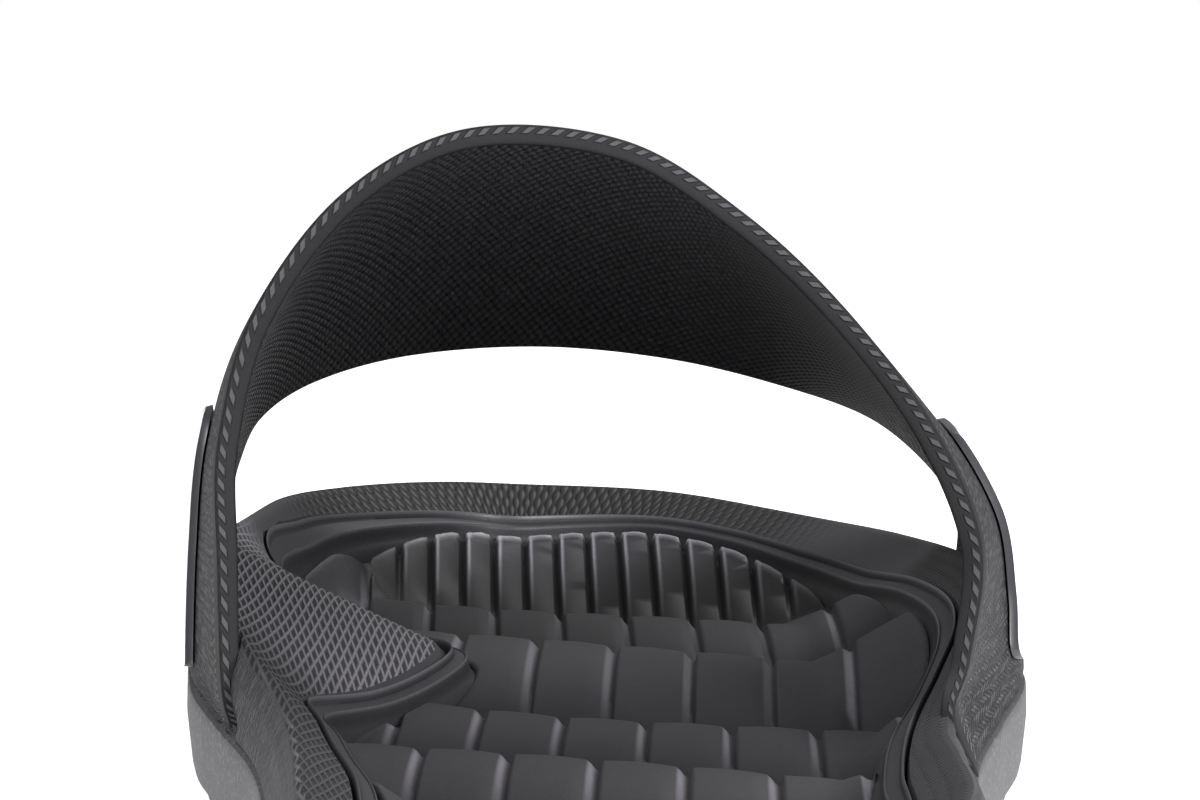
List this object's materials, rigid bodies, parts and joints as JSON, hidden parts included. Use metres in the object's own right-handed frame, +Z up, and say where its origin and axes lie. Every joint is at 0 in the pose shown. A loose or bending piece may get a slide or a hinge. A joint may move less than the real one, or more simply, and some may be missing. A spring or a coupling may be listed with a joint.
{
  "type": "slide sandal",
  "caption": "Sport slide sandal for the right foot with a wide closed-top strap, a cup sole and a ribbed, padded footbed.",
  "frame": {"origin": "centre of the sandal's box at floor level", "axes": "+Y towards the toe, +X towards the outer (little toe) side, +Z up"},
  "size_m": [0.1161, 0.29, 0.1031],
  "materials": {
    "outsole_rubber": "matte moulded rubber",
    "midsole_foam": "matte moulded foam with a fine textured rim",
    "footbed_foam": "satin moulded foam",
    "strap_textile": "knitted lining and coated textile outside",
    "panel_moulded": "glossy moulded plate"
  },
  "bodies": {
    "root": {"outsole": "outsole_rubber", "midsole": "midsole_foam", "footbed": "footbed_foam", "strap": "strap_textile", "side_panel_medial": "panel_moulded", "side_panel_lateral": "panel_moulded"}
  },
  "joints": []
}
